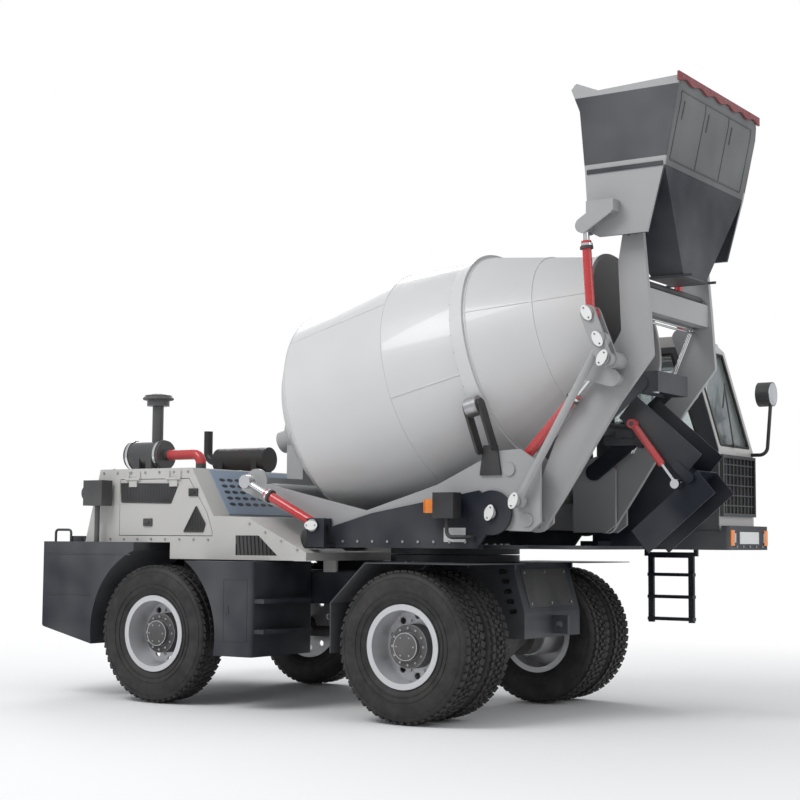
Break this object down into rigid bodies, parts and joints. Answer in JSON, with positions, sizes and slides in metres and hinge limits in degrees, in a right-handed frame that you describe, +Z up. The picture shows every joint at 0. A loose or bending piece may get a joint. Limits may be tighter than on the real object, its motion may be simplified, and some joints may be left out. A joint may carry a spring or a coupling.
{
  "type": "self-loading concrete mixer",
  "caption": "Wheeled concrete mixer with a slewing upper frame, tilted drum, loading bucket on lift arms, side cab, engine hood at the back and a folding chute.",
  "frame": {"origin": "on the ground, under the middle of the machine's length and width", "axes": "+X towards the bucket and chute, +Y towards the cab's side, +Z up"},
  "size_m": [5.525, 2.9836, 4.3799],
  "materials": {
    "structure_navy": "satin",
    "axle_dark": "matt",
    "hood_grey": "satin",
    "grille_black": "matt",
    "engine_iron": "rough",
    "black_plastic": "matt",
    "exhaust_steel": "heat tinted",
    "window_glass": "clear",
    "frame_grey": "satin",
    "drum_white": "satin",
    "edge_red": "worn",
    "ram_red": "gloss",
    "rod_chrome": "polished",
    "tyre": "matt",
    "rim_silver": "satin",
    "roller_steel": "turned"
  },
  "bodies": {
    "chassis": {"chassis_frame": "structure_navy", "front_axle": "axle_dark", "rear_axle": "axle_dark", "mudguards": "structure_navy", "side_boxes": "structure_navy", "rear_tank": "structure_navy", "engine_hood": "hood_grey", "hood_grilles": "grille_black", "engine_block": "engine_iron", "air_intake": "black_plastic", "exhaust": "exhaust_steel", "rear_lamps": "black_plastic", "drive_line": "axle_dark"},
    "turret": {"turret_frame": "structure_navy", "cab_deck": "structure_navy", "cab_shell": "hood_grey", "cab_glass": "window_glass", "cab_guard": "grille_black", "cab_interior": "black_plastic", "mirror": "black_plastic", "work_lamp": "black_plastic"},
    "cab_door": {"cab_door": "hood_grey", "cab_door_glass": "window_glass"},
    "ladder": {"ladder": "structure_navy"},
    "drum_frame": {"drum_frame": "frame_grey", "roller_brackets": "frame_grey", "drum_drive": "frame_grey", "chute_hopper": "structure_navy"},
    "drum": {"drum_shell": "drum_white"},
    "arms": {"loader_arms": "frame_grey"},
    "bucket": {"bucket": "structure_navy", "bucket_edge": "edge_red"},
    "gate": {"bucket_gate": "structure_navy"},
    "chute": {"chute": "structure_navy"},
    "chute_extension": {"chute_extension": "structure_navy"},
    "chute_barrel": {"chute_barrel": "ram_red"},
    "chute_rod": {"chute_rod": "rod_chrome"},
    "tilt_barrels": {"tilt_barrels": "ram_red"},
    "tilt_rods": {"tilt_rods": "rod_chrome"},
    "lift_barrels": {"lift_barrels": "ram_red"},
    "lift_rods": {"lift_rods": "rod_chrome"},
    "cranks": {"cranks": "frame_grey"},
    "level_rods": {"level_rods": "frame_grey"},
    "curl_barrels": {"curl_barrels": "ram_red"},
    "curl_rods": {"curl_rods": "rod_chrome"},
    "wheels_front_right": {"tyres_front_right": "tyre", "rims_front_right": "rim_silver"},
    "wheel_rear_right": {"tyre_rear_right": "tyre", "rim_rear_right": "rim_silver"},
    "knuckle_right": {"knuckle_right": "axle_dark"},
    "hood_door_right": {"hood_door_right": "hood_grey"},
    "roller_right": {"roller_right": "roller_steel"},
    "wheels_front_left": {"tyres_front_left": "tyre", "rims_front_left": "rim_silver"},
    "wheel_rear_left": {"tyre_rear_left": "tyre", "rim_rear_left": "rim_silver"},
    "knuckle_left": {"knuckle_left": "axle_dark"},
    "hood_door_left": {"hood_door_left": "hood_grey"},
    "roller_left": {"roller_left": "roller_steel"}
  },
  "joints": [
    {"name": "wheel_front_right", "type": "hinge", "parent": "chassis", "child": "wheels_front_right", "pos_m": [0.9275, -1.1835, 0.525], "axis": [0, 1, 0], "continuous": true},
    {"name": "wheel_front_left", "type": "hinge", "parent": "chassis", "child": "wheels_front_left", "pos_m": [0.9275, 0.6965, 0.525], "axis": [0, 1, 0], "continuous": true},
    {"name": "steer_right", "type": "hinge", "parent": "chassis", "child": "knuckle_right", "pos_m": [-1.4175, -0.9435, 0.525], "axis": [0, 0, 1], "range_deg": [-20, 20]},
    {"name": "wheel_rear_right", "type": "hinge", "parent": "knuckle_right", "child": "wheel_rear_right", "pos_m": [-1.4175, -1.2355, 0.525], "axis": [0, 1, 0], "continuous": true},
    {"name": "steer_left", "type": "hinge", "parent": "chassis", "child": "knuckle_left", "pos_m": [-1.4175, 0.4565, 0.525], "axis": [0, 0, 1], "range_deg": [-20, 20]},
    {"name": "wheel_rear_left", "type": "hinge", "parent": "knuckle_left", "child": "wheel_rear_left", "pos_m": [-1.4175, 0.7485, 0.525], "axis": [0, 1, 0], "continuous": true},
    {"name": "hood_door_right", "type": "hinge", "parent": "chassis", "child": "hood_door_right", "pos_m": [-1.5725, -1.2055, 1.707], "axis": [-1, 0, 0], "range_deg": [0, 80]},
    {"name": "hood_door_left", "type": "hinge", "parent": "chassis", "child": "hood_door_left", "pos_m": [-1.5725, 0.7185, 1.707], "axis": [1, 0, 0], "range_deg": [0, 80]},
    {"name": "slew", "type": "hinge", "parent": "chassis", "child": "turret", "pos_m": [0.5975, -0.2435, 1.14], "axis": [0, 0, 1], "range_deg": [-90, 20]},
    {"name": "cab_door", "type": "hinge", "parent": "turret", "child": "cab_door", "pos_m": [1.4305, 1.3385, 2], "axis": [0, 0, 1], "range_deg": [0, 80]},
    {"name": "ladder", "type": "hinge", "parent": "turret", "child": "ladder", "pos_m": [1.6525, 1.3315, 1.15], "axis": [1, 0, 0], "range_deg": [0, 85]},
    {"name": "drum_tilt", "type": "hinge", "parent": "turret", "child": "drum_frame", "pos_m": [1.3325, -0.2435, 1.44], "axis": [0, -1, 0], "range_deg": [-8, 0]},
    {"name": "tilt_barrels", "type": "hinge", "parent": "turret", "child": "tilt_barrels", "pos_m": [-0.1025, -0.2435, 1.35], "axis": [0, -1, 0], "range_deg": [-19.29, 0]},
    {"name": "tilt_rods", "type": "slide", "parent": "tilt_barrels", "child": "tilt_rods", "axis": [0.8971, 0, -0.4418], "range_m": [-0.1297, 0]},
    {"name": "drum_spin", "type": "hinge", "parent": "drum_frame", "child": "drum", "pos_m": [-0.3605, -0.2435, 2.205], "axis": [0.9697, 0, 0.2445], "continuous": true},
    {"name": "roller_right", "type": "hinge", "parent": "drum_frame", "child": "roller_right", "pos_m": [1.22434, -1.02252, 2.17738], "axis": [0.9697, 0, 0.2445], "continuous": true},
    {"name": "roller_left", "type": "hinge", "parent": "drum_frame", "child": "roller_left", "pos_m": [1.22434, 0.53552, 2.17738], "axis": [0.9697, 0, 0.2445], "continuous": true},
    {"name": "arm_lift", "type": "hinge", "parent": "drum_frame", "child": "arms", "pos_m": [1.5975, -0.2435, 1.39], "axis": [0, 1, 0], "range_deg": [0, 94]},
    {"name": "lift_barrels", "type": "hinge", "parent": "drum_frame", "child": "lift_barrels", "pos_m": [1.4575, -0.2435, 1.74], "axis": [0, 1, 0], "range_deg": [0, 85.82]},
    {"name": "lift_rods", "type": "slide", "parent": "lift_barrels", "child": "lift_rods", "axis": [0.6871, 0, 0.7265], "range_m": [0, 0.5279]},
    {"name": "level_rods", "type": "hinge", "parent": "drum_frame", "child": "level_rods", "pos_m": [1.5575, -0.2435, 1.52], "axis": [0, 1, 0], "range_deg": [0, 94.3]},
    {"name": "cranks", "type": "hinge", "parent": "arms", "child": "cranks", "pos_m": [2.2375, -0.2435, 2.46], "axis": [0, 1, 0], "range_deg": [-94.3, 0]},
    {"name": "curl_barrels", "type": "hinge", "parent": "cranks", "child": "curl_barrels", "pos_m": [2.1175, -0.2435, 2.77], "axis": [0, 1, 0], "range_deg": [0, 105.75]},
    {"name": "curl_rods", "type": "slide", "parent": "curl_barrels", "child": "curl_rods", "axis": [-0.0665, 0, 0.9978], "range_m": [0, 0.402]},
    {"name": "bucket_tip", "type": "hinge", "parent": "arms", "child": "bucket", "pos_m": [2.3375, -0.2435, 3.37], "axis": [0, -1, 0], "range_deg": [-60, 0]},
    {"name": "gate_slide", "type": "slide", "parent": "bucket", "child": "gate", "axis": [1, 0, 0], "range_m": [-0.24, 0]},
    {"name": "chute_swing", "type": "hinge", "parent": "drum_frame", "child": "chute", "pos_m": [2.1275, -0.2435, 2], "axis": [0, 0, 1], "range_deg": [-25, 25]},
    {"name": "chute_fold", "type": "hinge", "parent": "chute", "child": "chute_extension", "pos_m": [2.5775, -0.2435, 1.682], "axis": [0, 1, 0], "range_deg": [-95, 0]},
    {"name": "chute_barrel", "type": "hinge", "parent": "chute", "child": "chute_barrel", "pos_m": [2.1775, -0.4755, 2.06], "axis": [0, 1, 0], "range_deg": [-7.66, 0]},
    {"name": "chute_rod", "type": "slide", "parent": "chute_barrel", "child": "chute_rod", "axis": [-0.606, 0, 0.7954], "range_m": [-0.1124, 0]}
  ],
  "couplings": [
    {"joint": "steer_left", "follows": "steer_right", "ratio": 1},
    {"joint": "tilt_barrels", "follows": "drum_tilt", "ratio": 2.3734},
    {"joint": "tilt_rods", "follows": "drum_tilt", "m_per_rad": 0.91423},
    {"joint": "roller_right", "follows": "drum_spin", "ratio": -11.6},
    {"joint": "roller_left", "follows": "drum_spin", "ratio": -11.6},
    {"joint": "lift_barrels", "follows": "arm_lift", "ratio": 0.90983},
    {"joint": "lift_rods", "follows": "arm_lift", "m_per_rad": 0.32057},
    {"joint": "level_rods", "follows": "arm_lift", "ratio": 1},
    {"joint": "cranks", "follows": "arm_lift", "ratio": -1},
    {"joint": "curl_barrels", "follows": "arm_lift", "ratio": 1.1218},
    {"joint": "curl_rods", "follows": "arm_lift", "m_per_rad": 0.24381},
    {"joint": "chute_barrel", "follows": "chute_fold", "ratio": 0.077522},
    {"joint": "chute_rod", "follows": "chute_fold", "m_per_rad": 0.066587}
  ]
}
